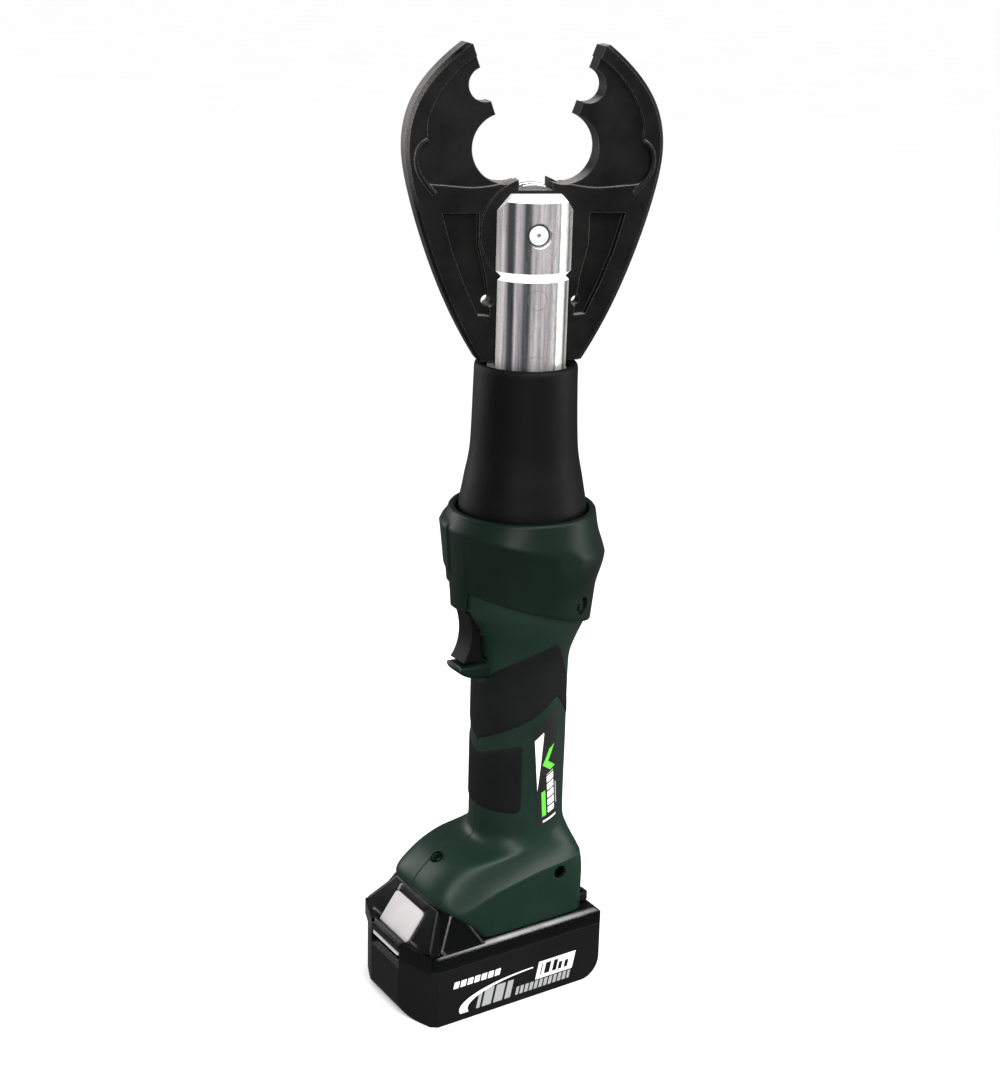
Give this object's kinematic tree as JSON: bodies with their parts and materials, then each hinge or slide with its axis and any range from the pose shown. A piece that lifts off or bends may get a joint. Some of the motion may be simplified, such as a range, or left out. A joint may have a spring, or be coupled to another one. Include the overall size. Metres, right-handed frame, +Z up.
{
  "type": "battery hydraulic crimper",
  "caption": "In-line battery hydraulic crimping tool with a turning fork head and two scissor jaws that close on a pair of round grooves.",
  "frame": {"origin": "on the tool axis, in the plane that the battery stands on", "axes": "+Z up the tool axis towards the jaws, -Y the trigger side, +X the right side of the handle"},
  "size_m": [0.084, 0.1429, 0.5051],
  "materials": {
    "battery_plastic": "black, satin sides with glossy edges",
    "battery_button_plastic": "pale grey, fine texture",
    "inner_plastic": "black glass-filled plastic",
    "cell_wrap": "shrink wrapped cells",
    "contact_metal": "plated contacts",
    "circuit_board": "fibre board",
    "screw_steel": "zinc plated",
    "housing_plastic": "dark green moulded plastic, satin",
    "collar_plastic": "dark green moulded plastic, satin",
    "grip_rubber": "charcoal overmoulded rubber",
    "label_film": "printed film",
    "trigger_plastic": "black",
    "spring_steel": "bright wire",
    "machined_steel": "turned and ground",
    "magnet": "ferrite",
    "lamination_steel": "stacked laminations",
    "copper": "enamelled copper",
    "carbon": "carbon",
    "pump_alloy": "machined",
    "soft_rubber": "black rubber",
    "sleeve_rubber": "soft black rubber, satin",
    "polished_steel": "turned, semi-bright",
    "jaw_black": "black oxide over a forged blank"
  },
  "bodies": {
    "handle": {"housing_left": "housing_plastic", "housing_right": "housing_plastic", "housing_screws": "screw_steel", "collar": "collar_plastic", "upper_grip_pad": "grip_rubber", "lower_grip_pad": "grip_rubber", "grip_labels": "label_film", "tether_lug": "housing_plastic", "motor_can": "machined_steel", "motor_magnets": "magnet", "motor_end_cap": "inner_plastic", "motor_bearings": "machined_steel", "motor_brushes": "carbon", "ring_gear": "machined_steel", "gearbox_plate": "inner_plastic", "pump_body": "pump_alloy", "pump_plunger": "machined_steel", "relief_valve": "machined_steel", "oil_bladder": "soft_rubber", "trigger_switch": "inner_plastic", "trigger_spring": "spring_steel", "terminal_block": "inner_plastic", "terminal_blades": "contact_metal", "control_board": "circuit_board", "swivel_bearing": "machined_steel"},
    "rotor": {"motor_shaft": "machined_steel", "rotor_core": "lamination_steel", "rotor_windings": "copper", "sun_gear": "machined_steel"},
    "carrier": {"planet_carrier": "machined_steel"},
    "planet_1": {"planet_gear_1": "machined_steel"},
    "planet_2": {"planet_gear_2": "machined_steel"},
    "planet_3": {"planet_gear_3": "machined_steel"},
    "trigger_blade": {"trigger": "trigger_plastic"},
    "battery": {"battery_lower_case": "battery_plastic", "battery_upper_case": "battery_plastic", "battery_cells": "cell_wrap", "battery_contacts": "contact_metal", "battery_board": "circuit_board", "battery_screws": "screw_steel"},
    "battery_release": {"battery_button": "battery_button_plastic", "battery_latch": "inner_plastic"},
    "head": {"clevis": "polished_steel", "jaw_pin": "polished_steel", "cheek_plugs": "polished_steel", "neck_sleeve": "sleeve_rubber", "hydraulic_cylinder": "machined_steel", "ram_spring": "spring_steel"},
    "ram": {"piston_rod": "machined_steel", "piston": "machined_steel", "piston_seal": "soft_rubber", "push_fork": "machined_steel", "roller_pins": "machined_steel"},
    "left_roller": {"roller_left": "machined_steel"},
    "right_roller": {"roller_right": "machined_steel"},
    "left_jaw": {"jaw_left": "jaw_black", "spring_hook_left": "spring_steel"},
    "right_jaw": {"jaw_right": "jaw_black", "spring_hook_right": "spring_steel"}
  },
  "joints": [
    {"name": "head_turn", "type": "hinge", "parent": "handle", "child": "head", "pos_m": [0, 0, 0.26], "axis": [0, 0, 1], "range_deg": [-175, 175]},
    {"name": "ram_slide", "type": "slide", "parent": "head", "child": "ram", "axis": [0, 0, 1], "range_m": [0, 0.022], "stiffness_N_per_m": 900, "springref_m": -0.01, "deforming": ["ram_spring"]},
    {"name": "jaw_right_turn", "type": "hinge", "parent": "head", "child": "right_jaw", "pos_m": [0, 0, 0.4153], "axis": [0.9397, -0.342, 0], "range_deg": [0, 20]},
    {"name": "jaw_left_turn", "type": "hinge", "parent": "head", "child": "left_jaw", "pos_m": [0, 0, 0.4153], "axis": [0.9397, -0.342, 0], "range_deg": [-20, 0]},
    {"name": "roller_right_spin", "type": "hinge", "parent": "ram", "child": "right_roller", "pos_m": [0.0026, 0.00714, 0.3578], "axis": [0.9397, -0.342, 0], "continuous": true},
    {"name": "roller_left_spin", "type": "hinge", "parent": "ram", "child": "left_roller", "pos_m": [-0.0026, -0.00714, 0.3578], "axis": [0.9397, -0.342, 0], "continuous": true},
    {"name": "motor_spin", "type": "hinge", "parent": "handle", "child": "rotor", "pos_m": [0, 0.0018, 0.1], "axis": [0, 0, 1], "continuous": true},
    {"name": "carrier_spin", "type": "hinge", "parent": "handle", "child": "carrier", "pos_m": [0, 0.0018, 0.17], "axis": [0, 0, 1], "continuous": true},
    {"name": "planet_1_spin", "type": "hinge", "parent": "carrier", "child": "planet_1", "pos_m": [0.0108, 0.0018, 0.165], "axis": [0, 0, 1], "continuous": true},
    {"name": "planet_2_spin", "type": "hinge", "parent": "carrier", "child": "planet_2", "pos_m": [-0.0054, 0.01115, 0.165], "axis": [0, 0, 1], "continuous": true},
    {"name": "planet_3_spin", "type": "hinge", "parent": "carrier", "child": "planet_3", "pos_m": [-0.0054, -0.00755, 0.165], "axis": [0, 0, 1], "continuous": true},
    {"name": "trigger_slide", "type": "slide", "parent": "handle", "child": "trigger_blade", "axis": [0, 1, 0], "range_m": [0, 0.0045], "stiffness_N_per_m": 600, "springref_m": -0.004, "deforming": ["trigger_spring"]},
    {"name": "battery_slide", "type": "slide", "parent": "handle", "child": "battery", "axis": [0, -1, 0], "range_m": [0, 0.09]},
    {"name": "battery_button_push", "type": "slide", "parent": "battery", "child": "battery_release", "axis": [0, -0.5784, -0.8157], "range_m": [0, 0.004], "stiffness_N_per_m": 500, "springref_m": -0.004}
  ],
  "couplings": [
    {"joint": "jaw_right_turn", "follows": "ram_slide", "rad_per_m": 15.867},
    {"joint": "jaw_left_turn", "follows": "ram_slide", "rad_per_m": -15.867},
    {"joint": "carrier_spin", "follows": "motor_spin", "ratio": 0.22222},
    {"joint": "planet_1_spin", "follows": "motor_spin", "ratio": -0.62222},
    {"joint": "planet_2_spin", "follows": "motor_spin", "ratio": -0.62222},
    {"joint": "planet_3_spin", "follows": "motor_spin", "ratio": -0.62222}
  ]
}
